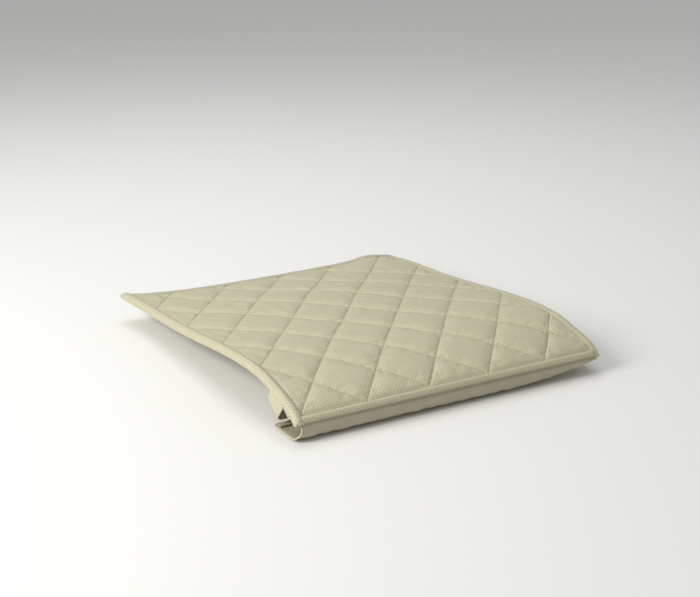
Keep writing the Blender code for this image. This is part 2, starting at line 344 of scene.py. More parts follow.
def puLeatherette(name, tones, perforated, s=leatherSet):
    # PU leatherette: polyurethane skin rolled on cloth, which gives a soft satin gloss over a
    # fine pebble grain; the perforated one is punched in staggered rows
    made, tree, shader = newMaterial(name)
    sized = inMillimetres(tree, True)
    pebble = addNode(tree, "ShaderNodeTexVoronoi", {"Vector": sized, "Scale": 1 / s["grain"]},
                     feature="SMOOTH_F1")
    mottle = addNode(tree, "ShaderNodeTexNoise", {"Vector": sized, "Scale": 1 / 28, "Detail": 3})
    fine = addNode(tree, "ShaderNodeTexNoise", {"Vector": sized, "Scale": 1 / 3.2, "Detail": 2})
    tone = addNode(tree, "ShaderNodeMath", {0: mottle.outputs[0], 1: 0.75, 2: 0.0},
                   operation="MULTIPLY_ADD")
    colour = blendColours(tree, tone.outputs[0], linear(s[tones[0]]), linear(s[tones[1]]))
    height = addNode(tree, "ShaderNodeMath", {0: pebble.outputs["Distance"], 1: 0.35,
                                              2: fine.outputs[0]}, operation="MULTIPLY_ADD")
    skin, bumps = colour, height.outputs[0]
    if perforated:
        half = (s["holeAcross"] / 2, s["holeRow"], 1)
        spots = []
        across = addNode(tree, "ShaderNodeVectorMath", {0: sized, 1: (1, -s["holeSlant"], 0)},
                         operation="DOT_PRODUCT").outputs["Value"]
        rows = addNode(tree, "ShaderNodeVectorMath", {0: sized, 1: (0, 1, 0)},
                       operation="DOT_PRODUCT").outputs["Value"]
        slanted = addNode(tree, "ShaderNodeCombineXYZ", {"X": across, "Y": rows}).outputs[0]
        for shift in ((0, 0, 0), half):
            moved = addNode(tree, "ShaderNodeVectorMath", {0: slanted, 1: shift}, operation="ADD")
            flat = addNode(tree, "ShaderNodeVectorMath", {0: moved.outputs[0], 1: (1, 1, 0)},
                           operation="MULTIPLY")
            cell = addNode(tree, "ShaderNodeVectorMath",
                           {0: flat.outputs[0], 1: half, 2: [-x for x in half]}, operation="WRAP")
            spots.append(addNode(tree, "ShaderNodeVectorMath", {0: cell.outputs[0]},
                                 operation="LENGTH").outputs["Value"])
        near = addNode(tree, "ShaderNodeMath", {0: spots[0], 1: spots[1]}, operation="MINIMUM")
        hole = addNode(tree, "ShaderNodeMapRange",
                       {"Value": near.outputs[0], "From Min": s["holeSize"] * 0.36,
                        "From Max": s["holeSize"] * 0.62, "To Min": 1, "To Max": 0},
                       interpolation_type="SMOOTHSTEP")
        # the holes are painted darker: painted shade inside each hole along with the foam beneath
        skin = blendColours(tree, hole.outputs[0], skin, linear(s["holeShadeAndFoam"]))
        bumps = addNode(tree, "ShaderNodeMath", {0: hole.outputs[0], 1: -2.5, 2: bumps},
                        operation="MULTIPLY_ADD").outputs[0]
    rough = addNode(tree, "ShaderNodeMapRange", {"Value": fine.outputs[0],
                                                 "To Min": s["roughness"] - 0.06,
                                                 "To Max": s["roughness"] + 0.08})
    tree.links.new(skin, shader.inputs["Base Color"])
    tree.links.new(rough.outputs[0], shader.inputs["Roughness"])
    addBump(tree, shader, bumps, 0.35, 0.25 * mm)
    shader.inputs["IOR"].default_value = 1.46
    shader.inputs["Sheen Weight"].default_value = 0.06
    return made


faceTones, apronShadedTones = ("colour", "shade"), ("apron", "apronShade")
perforatedLeatherette = puLeatherette("perforated_pu_leatherette", faceTones, True)
smoothLeatherette = puLeatherette("smooth_pu_leatherette", faceTones, False)
# the apron: the same leatherette in darker tones, partly painted shade for its front that faces away
# from the key light and partly its own browner skin
apronShadedLeatherette = puLeatherette("apron_pu_leatherette_painted_shade", apronShadedTones, False)


# quilting: stitch lines in two directions, on an even lattice

quiltSet = {
    "diamond": (98.3 * mm, 121.4 * mm),       # across and along
    "start": (-0.2889, 0.1916),               # where line 0 of one way meets line 0 of the other
    "wander": (0.5 * mm, 1.3 * mm),           # how far the two ways' lines stray
    "lineDepth": 2.1 * mm, "puff": 1.4 * mm, "run": 14 * mm,
    "edgeIn": 12.2 * mm, "edgeRun": 9 * mm,   # the face is held down this far in from the edge
    "cells": 30, "crowd": 0.5,                # cells along a diamond's side, closer at its lines
}
firstLine, secondLine = (-3, 8), (-2, 9)      # line numbers that cover the pad


def quiltPoint(first, second, s=quiltSet):
    # place on the pad where line number first of one way meets line number second of the other
    across = s["start"][0] + (first + second) * s["diamond"][0] / 2
    along = s["start"][1] + (second - first) * s["diamond"][1] / 2
    strayFirst = ripples(across, along, 0.16, 3) * s["wander"][0]
    straySecond = ripples(across, along, 0.11, 4) * s["wander"][1]
    # the first way's lines lean one way and the second's the other, so each strays sideways
    return across + strayFirst + straySecond * 0.6, along - strayFirst * 0.8 + straySecond * 0.8


lineSide = hypot(*quiltSet["diamond"]) / 2
lineApart = quiltSet["diamond"][0] * quiltSet["diamond"][1] / 2 / lineSide


def rise(gap, run):
    # from 0 on a line to 1 where the padding is full
    return 1 - (1 - np.clip(gap / run, 0, 1)) ** 2.4


def edgeGap(across, along):
    return np.minimum(halfWidth - np.abs(across), np.minimum(along, padLength - along))


def fullness(across, along, toFirst, toSecond, s=quiltSet):
    full = rise(toFirst, s["run"]) * rise(toSecond, s["run"])
    return full * rise(edgeGap(across, along) - s["edgeIn"], s["edgeRun"])


def quiltedFace(cells, crowd):
    # a flat face whose grid runs along the stitch lines, cut to the pad's outline
    bm = bmesh.new()
    spans = [high - low for low, high in (firstLine, secondLine)]
    bmesh.ops.create_grid(bm, x_segments=spans[0] * cells, y_segments=spans[1] * cells, size=0.5)
    gap = bm.verts.layers.float_vector.new("gap")
    spots = np.array([v.co for v in bm.verts])
    first = firstLine[0] + (spots[:, 0] + 0.5) * spans[0]
    second = secondLine[0] + (spots[:, 1] + 0.5) * spans[1]
    first = first - crowd * np.sin(2 * pi * first) / (2 * pi)
    second = second - crowd * np.sin(2 * pi * second) / (2 * pi)
    across, along = quiltPoint(first, second)
    toFirst = np.abs(first - np.round(first)) * lineApart
    toSecond = np.abs(second - np.round(second)) * lineApart
    for vert, x, y, a, b in zip(bm.verts, across, along, toFirst, toSecond):
        vert.co = (x, y, 0)
        vert[gap] = (a, b, 0)
    side = halfWidth - coreInset
    for point, normal in (((side, 0, 0), (1, 0, 0)), ((-side, 0, 0), (-1, 0, 0)),
                          ((0, coreInset, 0), (0, -1, 0)),
                          ((0, padLength - coreInset, 0), (0, 1, 0))):
        bmesh.ops.bisect_plane(bm, geom=bm.verts[:] + bm.edges[:] + bm.faces[:], dist=1e-6,
                               plane_co=point, plane_no=normal, clear_outer=True)
    bmesh.ops.remove_doubles(bm, verts=bm.verts, dist=0.15 * mm)
    stampCut(bm)
    return bm, gap


def boundaryEdges(bm):
    return [edge for edge in bm.edges if edge.is_boundary]


padSet = {
    "underside": 7.9 * mm, "undersideCells": 9, "undersideCrowd": 0.4, "dimple": 1.1 * mm,
    # cloth: the face is a little larger than its foam, and the foam stops it at its own height
    "pressure": 4, "growth": -0.012, "frames": 20, "stiffness": 15, "shear": 5, "bending": 0.4,
    "pinned": 0.7 * mm, "fullHeight": 3.8 * mm, "startShare": 0.35,
    # the sewn channel on each way's lines: depth and half width
    "channel": ((1.0 * mm, 1.3 * mm), (1.6 * mm, 0.9 * mm)),
    # small folds where the face is drawn along the rear: height, length, how long for their width,
    # how they lean, where they grow full and what is left of them in front of that
    "fold": 0.62 * mm, "foldLength": 15 * mm, "foldStretch": 3.4, "foldLean": (0.78, 0.63),
    "foldFrom": 0.26, "foldRun": 0.15, "foldFront": 0.25, "calmLength": 90 * mm,
    # one crease that runs in from the left edge: where, lean, how deep, half width and reach
    "creaseAt": 0.228, "creaseLean": 0.23, "crease": 2.6 * mm, "creaseHalf": 5 * mm,
    "creaseRun": 64 * mm,
}


def swellFace(bm, pinned, s=padSet):
    # cloth pressure under the face, which its stitch lines hold down
    mesh = bpy.data.meshes.new("face_rest")
    bm.to_mesh(mesh)
    face = bpy.data.objects.new("face_rest", mesh)
    scene.collection.objects.link(face)
    group = face.vertex_groups.new(name="stitched")
    group.add([int(i) for i in np.nonzero(pinned)[0]], 1, "REPLACE")
    modifier = face.modifiers.new("cloth", "CLOTH")
    cloth = modifier.settings
    cloth.quality = 5
    cloth.tension_stiffness = cloth.compression_stiffness = s["stiffness"]
    cloth.shear_stiffness = s["shear"]
    cloth.bending_stiffness = s["bending"]
    cloth.use_pressure = True
    cloth.uniform_pressure_force = s["pressure"]
    cloth.shrink_min = cloth.shrink_max = s["growth"]
    cloth.effector_weights.gravity = 0
    cloth.vertex_group_mass = "stitched"
    modifier.collision_settings.use_collision = False
    modifier.collision_settings.use_self_collision = False
    for step in range(1, s["frames"] + 1):
        scene.frame_set(step)
    shown = face.evaluated_get(bpy.context.evaluated_depsgraph_get())
    spots = np.array([v.co for v in shown.data.vertices])
    scene.frame_set(1)
    bpy.data.objects.remove(face)
    bpy.data.meshes.remove(mesh)
    return spots


def facePlaces(bm, gap):
    spots = np.array([v.co for v in bm.verts])
    gaps = np.array([v[gap] for v in bm.verts])
    return spots, gaps[:, 0], gaps[:, 1], edgeGap(spots[:, 0], spots[:, 1])


def undersideSheet(height):
    # the underside of the padding, drawn up where it is stitched
    bm, gap = quiltedFace(padSet["undersideCells"], padSet["undersideCrowd"])
    spots, toFirst, toSecond, _ = facePlaces(bm, gap)
    full = fullness(spots[:, 0], spots[:, 1], toFirst, toSecond)
    for vert, share in zip(bm.verts, full):
        vert.co.z = height + padSet["dimple"] * (1 - share)
    return bm


def makePad(s=padSet):
    bm, gap = quiltedFace(quiltSet["cells"], quiltSet["crowd"])
    spots, toFirst, toSecond, edge = facePlaces(bm, gap)
    full = fullness(spots[:, 0], spots[:, 1], toFirst, toSecond)
    start = s["startShare"]
    total = quiltSet["lineDepth"] + quiltSet["puff"]
    for vert, share in zip(bm.verts, full):
        vert.co.z = start * total * share
    pinned = (np.minimum(toFirst, toSecond) < s["pinned"]) | (edge < quiltSet["edgeIn"])
    moved = swellFace(bm, pinned)
    for vert, spot in zip(bm.verts, moved):
        vert.co = spot
        vert.co.z = s["fullHeight"] * np.tanh(max(spot[2], 0) / s["fullHeight"])
    channel = sum(depth * np.exp(-(away / half) ** 2)
                  for (depth, half), away in zip(s["channel"], (toFirst, toSecond)))
    for vert, depth in zip(bm.verts, channel * (edge > quiltSet["edgeIn"] - 1 * mm)):
        vert.co.z -= quiltSet["lineDepth"] + depth - channelRest
    lean, rest = s["foldLean"]
    overFold = lean * spots[:, 0] + rest * spots[:, 1]
    downFold = lean * spots[:, 1] - rest * spots[:, 0]
    folds = ripples(overFold, downFold, s["foldLength"], 5, s["foldStretch"])
    calm = ripples(spots[:, 0], spots[:, 1], s["calmLength"], 8) * 0.5 + 0.5
    rearward = ease((spots[:, 1] - s["foldFrom"]) / s["foldRun"])
    grown = s["foldFront"] + (1 - s["foldFront"]) * rearward
    folds = folds * full * np.clip(calm, 0, 1.2) * grown * s["fold"]
    inward = spots[:, 0] + halfWidth
    off = spots[:, 1] - s["creaseAt"] + inward * s["creaseLean"]
    crease = np.exp(-(off / s["creaseHalf"]) ** 2)
    crease = crease * (1 - ease(inward / s["creaseRun"])) * s["crease"]
    crease = crease * ease((edge - quiltSet["edgeIn"] + 1 * mm) / (3 * mm))
    for vert, height in zip(bm.verts, folds - crease):
        vert.co.z += height
    under = undersideSheet(-s["underside"])
    bmesh.ops.reverse_faces(under, faces=under.faces)
    plain = bpy.data.meshes.new("underside")
    under.to_mesh(plain)
    under.free()
    bm.from_mesh(plain)
    bpy.data.meshes.remove(plain)
    bmesh.ops.bridge_loops(bm, edges=boundaryEdges(bm))
    shapeVerts(bm, onPad)
    pad = finishPiece("quilted_pad", bm, perforatedLeatherette, "pad",
                      ("quilted_top", "foam_sheet"))
    return pad


channelRest = 0.3 * mm      # the lines' own height once the channels are pressed in
makePad()


# edge bindings

bindingSet = {
    # reach in from the edge and height above the face, from the top seam round to the lower seam
    "section": [(11.8, -2.4), (11.2, -1.2), (9.6, 0.3), (7.0, 1.2), (4.2, 0.8), (1.8, -0.9),
                (0.35, -3.4), (0.3, -6.0), (1.7, -8.4), (4.4, -9.9), (8.0, -10.5), (11.2, -10.6)],
    "thickness": 1.1 * mm,
    "around": 30, "step": 2.5 * mm,
    # the open ends of the side bindings are folded shut over this run, down to this share
    "closeRun": 5 * mm, "shut": 0.12, "middle": -4.6 * mm,
    "seam": -2.2 * mm,
    "lowerFrom": 0.40, "lowerRun": 0.55,     # share of the way round where the lower half is drawn in
    "wave": 0.22 * mm, "waveLength": 40 * mm,
}
section, sectionLength = smoothThrough(bindingSet["section"], 60)
section = section * mm
sectionLength = sectionLength * mm
sectionShare = np.linspace(0, 1, len(section))


def makeBinding(name, start, end, place, closed, crown, drawIn, nodes, s=bindingSet):
    # a strip of leatherette folded round the edge, from start to end along it
    run = end - start
    bm = flatSheet(run, sectionLength, int(run / s["step"]), s["around"])

    def fold(spots):
        along = spots[:, 0] + (start + end) / 2
        share = spots[:, 1] / sectionLength + 0.5
        reach = np.interp(share, sectionShare, section[:, 0])
        height = np.interp(share, sectionShare, section[:, 1])
        height = np.where(height > s["seam"], s["seam"] + (height - s["seam"]) * crown, height)
        lower = np.sin(np.clip((share - s["lowerFrom"]) / s["lowerRun"], 0, 1) * pi)
        reach = reach + lower * drawIn
        height = height + lower * drawIn
        wave = ripples(along, share * 0.02, s["waveLength"], len(name)) * s["wave"]
        outward = np.sin(share * pi)
        height = height + wave * outward
        if closed:
            left = np.minimum(along - start, end - along)
            opened = np.sqrt(1 - (1 - np.clip(left / s["closeRun"], 0, 1)) ** 2)
            height = s["middle"] + (height - s["middle"]) * (s["shut"] + (1 - s["shut"]) * opened)
        return place(along, reach, height)

    shapeVerts(bm, fold)
    bmesh.ops.recalc_face_normals(bm, faces=bm.faces)
    bmesh.ops.solidify(bm, geom=bm.faces[:], thickness=s["thickness"])
    shapeVerts(bm, onPad)
    strip = finishPiece(name, bm, perforatedLeatherette, "pad", nodes)


def alongSide(side):
    return lambda along, reach, height: np.stack([side * (halfWidth - reach), along, height], 1)


def alongFront(along, reach, height):
    return np.stack([along, reach, height], 1)


def alongRear(along, reach, height):
    return np.stack([along, padLength - reach, height], 1)


endRoom = 11 * mm                # the front and rear bindings stop this far short of the sides
endReach = halfWidth - endRoom
makeBinding("left_binding", 0, padLength, alongSide(-1), True, 1.0, 0,
            ["binding_left"])
makeBinding("right_binding", 0, padLength, alongSide(1), True, 0.5, 0,
            ["binding_right"])
makeBinding("front_binding", -endReach, endReach, alongFront, False, 1.0, 1.9 * mm,
            ["binding_front"])
makeBinding("rear_binding", -endReach, endReach, alongRear, False, 0.4, 0,
            ["binding_rear"])


# backing cloth

backingSet = {"gap": 0.3 * mm, "thickness": 0.8 * mm, "colour": "#b9b4a3", "fibre": "#a8a292"}


def backingCloth(s=backingSet):
    # spun-bonded polyester: short fibres pressed into a matt sheet, embossed in small points
    made, tree, shader = newMaterial("spunbonded_polyester")
    sized = inMillimetres(tree, False)
    fibre = addNode(tree, "ShaderNodeTexNoise", {"Vector": sized, "Scale": 1.1, "Detail": 5,
                                                 "Distortion": 2.2})
    point = addNode(tree, "ShaderNodeTexVoronoi", {"Vector": sized, "Scale": 0.55,
                                                   "Randomness": 0.0})
    dent = addNode(tree, "ShaderNodeMapRange", {"Value": point.outputs["Distance"],
                                                "From Min": 0.12, "From Max": 0.3})
    colour = blendColours(tree, fibre.outputs[0], linear(s["colour"]), linear(s["fibre"]))
    height = addNode(tree, "ShaderNodeMath", {0: dent.outputs[0], 1: 0.6, 2: fibre.outputs[0]},
                     operation="MULTIPLY_ADD")
    tree.links.new(colour, shader.inputs["Base Color"])
    addBump(tree, shader, height.outputs[0], 0.5, 0.3 * mm)
    shader.inputs["Roughness"].default_value = 0.92
    shader.inputs["Sheen Weight"].default_value = 0.2
    return made


def makeBacking(s=backingSet):
    bm = undersideSheet(-padSet["underside"] - s["gap"])
    for face in bm.faces:
        if face.normal.z < 0:
            face.normal_flip()
    bmesh.ops.solidify(bm, geom=bm.faces[:], thickness=s["thickness"])
    shapeVerts(bm, onPad)
    backing = finishPiece("backing_sheet", bm, backingCloth(), "pad",
                          ["backing_cloth"])


makeBacking()


# thread: lock stitches along the quilting and the bindings

threadSet = {
    "pitch": 4.5 * mm, "length": 3.3 * mm, "radius": 0.3 * mm, "slant": 7,   # degrees
    "colour": "#c9c29c", "sides": 6, "rings": 4,
    "bindingIn": 10.2 * mm,      # the topstitch runs this far in from the edge
}


def polyesterThread(s=threadSet):
    # spun polyester thread: a little lighter and glossier than the leatherette, with a fine twist
    made, tree, shader = newMaterial("spun_polyester_thread")
    place = addNode(tree, "ShaderNodeTexCoord").outputs["Object"]
    twist = addNode(tree, "ShaderNodeTexWave", {"Vector": place, "Scale": 900, "Distortion": 1.5},
                    bands_direction="DIAGONAL")
    addBump(tree, shader, twist.outputs["Fac"], 0.4, 0.08 * mm)
    shader.inputs["Base Color"].default_value = linear(s["colour"])
    shader.inputs["Roughness"].default_value = 0.55
    shader.inputs["Sheen Weight"].default_value = 0.15
    return made


def oneStitch(s=threadSet):
    # a short fat run of thread, lying along X, as points and faces
    bm = bmesh.new()
    bmesh.ops.create_uvsphere(bm, u_segments=s["sides"], v_segments=s["rings"], radius=1)
    bmesh.ops.rotate(bm, matrix=Matrix.Rotation(pi / 2, 3, "Y"), verts=bm.verts)
    bmesh.ops.scale(bm, vec=(s["length"] / 2, s["radius"], s["radius"]), verts=bm.verts)
    spots = np.array([v.co for v in bm.verts])
    faces = [[v.index for v in face.verts] for face in bm.faces]
    bm.free()
    return spots, faces


def stitchPlaces(row, side, s=threadSet):
    # the middle of each stitch along a row in the pad's space, and the way that it points
    at = np.concatenate([[0], np.cumsum(np.linalg.norm(np.diff(row, axis=0), axis=1))])
    middle = (np.arange(int(at[-1] / s["pitch"])) + 0.5) * s["pitch"]
    ahead, behind, centre = (np.stack([np.interp(middle + step, at, row[:, k]) for k in range(3)], 1)
                             for step in (s["pitch"] / 2, -s["pitch"] / 2, 0))
    turn = np.arctan2(ahead[:, 1] - behind[:, 1], ahead[:, 0] - behind[:, 0]) + radians(s["slant"])
    centre[:, 2] += side * s["radius"] * 0.35
    return centre, turn


def quiltRows(height):
    # the stitch lines of both ways, as points in the pad's space, inside the bindings
    rows = []
    inside = quiltSet["edgeIn"]
    for ways, ends, first in ((firstLine, secondLine, True), (secondLine, firstLine, False)):
        for line in range(ways[0], ways[1] + 1):
            run = np.linspace(ends[0], ends[1], 1600)
            pair = (np.full_like(run, line), run) if first else (run, np.full_like(run, line))
            across, along = quiltPoint(*pair)
            keep = edgeGap(across, along) > inside
            if keep.sum() > 20:
                rows.append(np.stack([across[keep], along[keep], np.full(keep.sum(), height)], 1))
    return rows


def makeThread(name, rows, side):
    # copies of one stitch, turned along its row and laid on the pad
    shape, faces = oneStitch()
    spots, polygons = [], []
    for row in rows:
        for centre, turn in zip(*stitchPlaces(row, side)):
            start = len(spots) * len(shape)
            lie = np.array([[cos(turn), -sin(turn), 0], [sin(turn), cos(turn), 0], [0, 0, 1]])
            spots.append(shape @ lie.T + centre)
            polygons += [[start + corner for corner in face] for face in faces]
    mesh = bpy.data.meshes.new("stitches")
    mesh.from_pydata(onPad(np.concatenate(spots)), [], polygons)
    bm = bmesh.new()
    bm.from_mesh(mesh)
    bpy.data.meshes.remove(mesh)
    return finishPiece(name, bm, threadFinish, "pad")


def bindingRows(lower, s=threadSet):
    half = len(section) // 2
    part = section[half:] if lower else section[:half][::-1]
    height = np.interp(s["bindingIn"], part[:, 0], part[:, 1])
    sideRun = np.linspace(4 * mm, padLength - 4 * mm, 900)
    endRun = np.linspace(-endReach + 2 * mm, endReach - 2 * mm, 800)
    rows = []
    for place, run in ((alongSide(-1), sideRun), (alongSide(1), sideRun),
                       (alongFront, endRun), (alongRear, endRun)):
        rows.append(place(run, np.full_like(run, s["bindingIn"]), np.full_like(run, height)))
    return rows


threadFinish = polyesterThread()
faceLineHeight = -quiltSet["lineDepth"] - padSet["channel"][0][0] * 0.7 + channelRest
backLineHeight = (-padSet["underside"] - backingSet["gap"] - backingSet["thickness"]
                  + padSet["dimple"])
makeThread("quilting_thread_face", quiltRows(faceLineHeight), 1)
makeThread("quilting_thread_back", quiltRows(backLineHeight), -1)
makeThread("binding_topstitch", bindingRows(False), 1)
makeThread("binding_understitch", bindingRows(True), -1)


# front pocket

def bentPath(start, heading, moves, step=1.2 * mm):
    # straight runs and (angle, radius) turns, as close points with their left-hand normals
    a, b = start
    points = [(a, b)]
    headings = [heading]
    for move in moves:
        turn, radius = move if isinstance(move, tuple) else (0, 0)
        length = abs(turn) * radius if turn else move
        count = max(2, int(length / step))
        for _ in range(count):
            heading += turn / count / 2
            a += length / count * cos(heading)
            b += length / count * sin(heading)
            heading += turn / count / 2
            points.append((a, b))
            headings.append(heading)
    points, headings = np.array(points), np.array(headings)
    at = np.concatenate([[0], np.cumsum(np.linalg.norm(np.diff(points, axis=0), axis=1))])
    return at, points, np.stack([-np.sin(headings), np.cos(headings)], 1)


def onPath(path, at, offset):
    # (a, b) at lengths along a path, moved to its left
    return [np.interp(at, path[0], path[1][:, k]) + np.interp(at, path[0], path[2][:, k]) * offset
            for k in (0, 1)]


pocketLow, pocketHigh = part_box("front_apron")
pocketSet = {
    "thickness": 1.2 * mm, "bend": 11.4 * mm,
    "tuckedUp": 5.5 * mm,                # the top edge is sewn in under the front binding
    "hemTurn": 1.9 * mm, "hemFold": 10.6 * mm,
    "gather": 0.8 * mm, "gatherLength": 19 * mm, "gatherFall": 22 * mm, "gathered": 30 * mm,
    "bulge": 2.4 * mm, "bulgeRun": 27 * mm,
    "bendAbove": 2.5 * mm, "bendBelow": 3 * mm,      # of the seam that the apron swings at
    "taperStart": 0.100, "taperEnd": 0.2425, "taperLeft": 0.07, "endReach": 0.5,
    "flare": 7.5 * mm, "flareRun": 30 * mm, "flareEnd": 9 * mm,
    "flareTop": 6 * mm, "flareFall": 16 * mm,
    # its top is sewn in behind the binding's roll
    "setBack": 2.5 * mm, "setFrom": -0.6 * mm, "setRun": 1.8 * mm, "shorter": 3.2 * mm,
    "piping": 1.15 * mm,
}


def pocketPath(s=pocketSet):
    half = s["thickness"] / 2
    faceY, floorZ = pocketLow.y + half, pocketLow.z + half
    rear = pocketHigh.y - half - s["hemTurn"]
    down = pocketHigh.z - floorZ - s["bend"] + s["tuckedUp"] - s["shorter"]
    back = rear - faceY - s["bend"]
    return bentPath((faceY, pocketHigh.z + s["tuckedUp"]), -pi / 2,
                    [down, (pi / 2, s["bend"]), back, (pi, s["hemTurn"]), s["hemFold"]])


pocket = pocketPath()
pocketLength = pocket[0][-1]
hemMiddle = pocketLength - pocketSet["hemFold"] - pi * pocketSet["hemTurn"] / 2


def inPocket(across, at, offset, s=pocketSet):
    # a place on the pocket: across the pad, down its path from the top edge, and off its surface
    y, z = onPath(pocket, at, offset)
    outer = np.minimum(at, 2 * hemMiddle - at)          # the hem's fold follows the floor under it
    out = [np.interp(outer, pocket[0], pocket[2][:, k]) for k in (0, 1)]
    fall = ease((outer - s["tuckedUp"]) / s["gatherFall"])
    wave = ripples(across, outer * 0.15, s["gatherLength"], 21) * s["gather"] * fall
    swell = s["bulge"] * np.sin(np.clip((outer - s["tuckedUp"]) / s["bulgeRun"], 0, 1) * pi)
    y = y - out[0] * (wave + swell)
    y = y + s["setBack"] * (1 - ease((outer - s["tuckedUp"] - s["setFrom"]) / s["setRun"]))
    z = z - out[1] * (wave * 0.6 + swell * 0.2)
    # the right end is drawn up to the seam
    share = np.clip((across - s["taperStart"]) / (s["taperEnd"] - s["taperStart"]), 0, 1)
    keep = (1 - share ** 1.7) ** 0.75
    keep = s["taperLeft"] + (1 - s["taperLeft"]) * keep
    below = np.minimum(z - pocketHigh.z, 0)
    z = z - below * (1 - keep)
    faceY = pocketLow.y
    y = faceY + (y - faceY) * (s["endReach"] + (1 - s["endReach"]) * keep)
    # the left end stands out
    flare = ease((-across - halfWidth + s["flareEnd"] + s["flareRun"]) / s["flareRun"])
    fallen = ease((outer - s["tuckedUp"] - s["flareTop"]) / s["flareFall"])
    across = across - s["flare"] * flare * fallen
    z = np.maximum(z, s["thickness"] * 0.3)
    return np.stack([across, y, z], 1)


def makePocket(s=pocketSet):
    half = pocketHigh.x
    bm = flatSheet(2 * half, pocketLength, 200, 70)
    turnDown(bm)
    middle = thicken(bm, s["thickness"])
    shapeVerts(bm, lambda p: inPocket(p[:, 0], pocketLength / 2 - p[:, 1], p[:, 2] - middle))
    apron = finishPiece("pocket_apron", bm, apronShadedLeatherette, None,
                        ["front_apron"])
    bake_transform(apron)


def rollPiece(name, spots, radius):
    # a round roll of cloth through points, made from a bevelled curve
    curve = bpy.data.curves.new(name, "CURVE")
    curve.dimensions = "3D"
    curve.bevel_depth = radius
    curve.bevel_resolution = 3
    curve.use_fill_caps = True
    spline = curve.splines.new("POLY")
    spline.points.add(len(spots) - 1)
    for point, spot in zip(spline.points, spots):
        point.co = (*spot, 1)
    holder = bpy.data.objects.new(name + "_curve", curve)
    mesh = bpy.data.meshes.new_from_object(holder)
    bpy.data.objects.remove(holder)
    bm = bmesh.new()
    bm.from_mesh(mesh)
    bpy.data.meshes.remove(mesh)
    bmesh.ops.remove_doubles(bm, verts=bm.verts, dist=0.01 * mm)
    return bm


def makePocketPipings(s=pocketSet):
    at = np.linspace(s["tuckedUp"] + 1.5 * mm, hemMiddle, 60)
    for side, word in ((-1, "left"), (1, "right")):
        spots = inPocket(np.full_like(at, side * (pocketHigh.x + 0.4 * mm)), at, 0 * at)
        bm = rollPiece("pocket_piping_" + word, spots, s["piping"])
        piping = finishPiece("pocket_piping_" + word, bm, smoothLeatherette, None,
                             ["apron_piping_" + word])
        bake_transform(piping)


# the rib colour is painted shade for the grooves between the ribs
elasticSet = {"width": 9.6 * mm, "thickness": 1.7 * mm, "colour": "#d8d3c4", "rib": "#bdb8a8"}


def braidedElastic(s=elasticSet):
    # braided elastic: polyester ribs over rubber cords, matt, with a fine chevron
    made, tree, shader = newMaterial("braided_elastic")
    sized = inMillimetres(tree, True)
    ribs = addNode(tree, "ShaderNodeTexWave", {"Vector": sized, "Scale": 0.26},
                   bands_direction="Y")
    chevron = addNode(tree, "ShaderNodeTexWave", {"Vector": sized, "Scale": 0.3},
                      bands_direction="DIAGONAL")
    height = addNode(tree, "ShaderNodeMath", {0: chevron.outputs["Fac"], 1: 0.5,
                                              2: ribs.outputs["Fac"]}, operation="MULTIPLY_ADD")
    # darker rib colour where the rib bands are low: painted shade in the grooves between ribs
    colour = blendColours(tree, ribs.outputs["Fac"], linear(s["rib"]), linear(s["colour"]))
    tree.links.new(colour, shader.inputs["Base Color"])
    addBump(tree, shader, height.outputs[0], 0.6, 0.3 * mm)
    shader.inputs["Roughness"].default_value = 0.85
    return made


def makeElastic(s=elasticSet):
    bm = flatSheet(2 * pocketHigh.x - 4 * mm, s["width"], 200, 6)
    turnDown(bm)
    middle = thicken(bm, s["thickness"])
    start = hemMiddle - pi * pocketSet["hemTurn"] / 2 - s["width"] + 0.6 * mm
    shapeVerts(bm, lambda p: inPocket(p[:, 0], start + s["width"] / 2 - p[:, 1],
                                      p[:, 2] - middle + pocketSet["hemTurn"]))
    finishPiece("pocket_elastic", bm, braidedElastic(), "front_pocket",
                ["hem_elastic"])


makePocket()
makePocketPipings()
makeElastic()


# corner tabs

tabSet = {
    "thickness": 1.2 * mm, "above": 6.0 * mm, "sunk": 0.9 * mm,
    # along the side edge from the tab's middle: front and rear edge, how far each leans back on
    # its way down, and its straight part
    "edgeAt": (-17.5 * mm, 18.5 * mm), "lean": (0.45, 0.62), "straight": (20 * mm, 8 * mm),
    "bend": 8 * mm, "tuck": 7 * mm, "bulge": 0.8 * mm, "hem": 1.1 * mm,
    "out": 0.35 * mm, "turnedIn": 6 * mm, "seamReach": 2.5 * mm,
}


def openingJoint(part):
    for joint in frame["joints"]:
        if joint["name"] == part + "_open":
            return Vector(joint["pos_m"]), Vector(joint["axis"])


def tabLength(straight, s=tabSet):
    return s["above"] + straight + s["bend"] * pi / 2 + s["tuck"]


def inTab(word, share, at, offset, s=tabSet):
    # a place on a tab: share of the way from its front edge to its rear one, down it, and off it
    hinge, axis = openingJoint("tab_" + word)
    side = -1 if word == "left" else 1
    ahead = np.array([0, abs(axis.y), abs(axis.z)])
    down = np.array([0, abs(axis.z), -abs(axis.y)])
    middle = s["bend"]
    straight = s["straight"][0] + (s["straight"][1] - s["straight"][0]) * share
    below = at - s["above"]
    turn = np.clip((below - straight) / middle, 0, pi / 2)
    run = np.maximum(below - straight - middle * pi / 2, 0)
    inward = middle * (1 - np.cos(turn)) + run
    drop = np.minimum(below, straight) + middle * np.sin(turn)
    out = s["bulge"] * np.sin(np.clip(at / (straight + s["above"]), 0, 1) * pi)
    out = out * np.sin(np.clip(share, 0, 1) * pi) - s["sunk"] * (1 - ease(at / s["above"]))
    edge = s["edgeAt"][0] + (s["edgeAt"][1] - s["edgeAt"][0]) * share
    lean = s["lean"][0] + (s["lean"][1] - s["lean"][0]) * share
    forward = edge + lean * np.clip(below, 0, straight + middle * 0.7)
    x = abs(hinge.x) + s["out"] - inward + out + offset * np.cos(turn)
    drop = drop + offset * np.sin(turn)
    spots = np.array(hinge) * [0, 1, 1] + np.outer(forward, ahead) + np.outer(drop, down)
    spots[:, 0] = side * x
    return spots


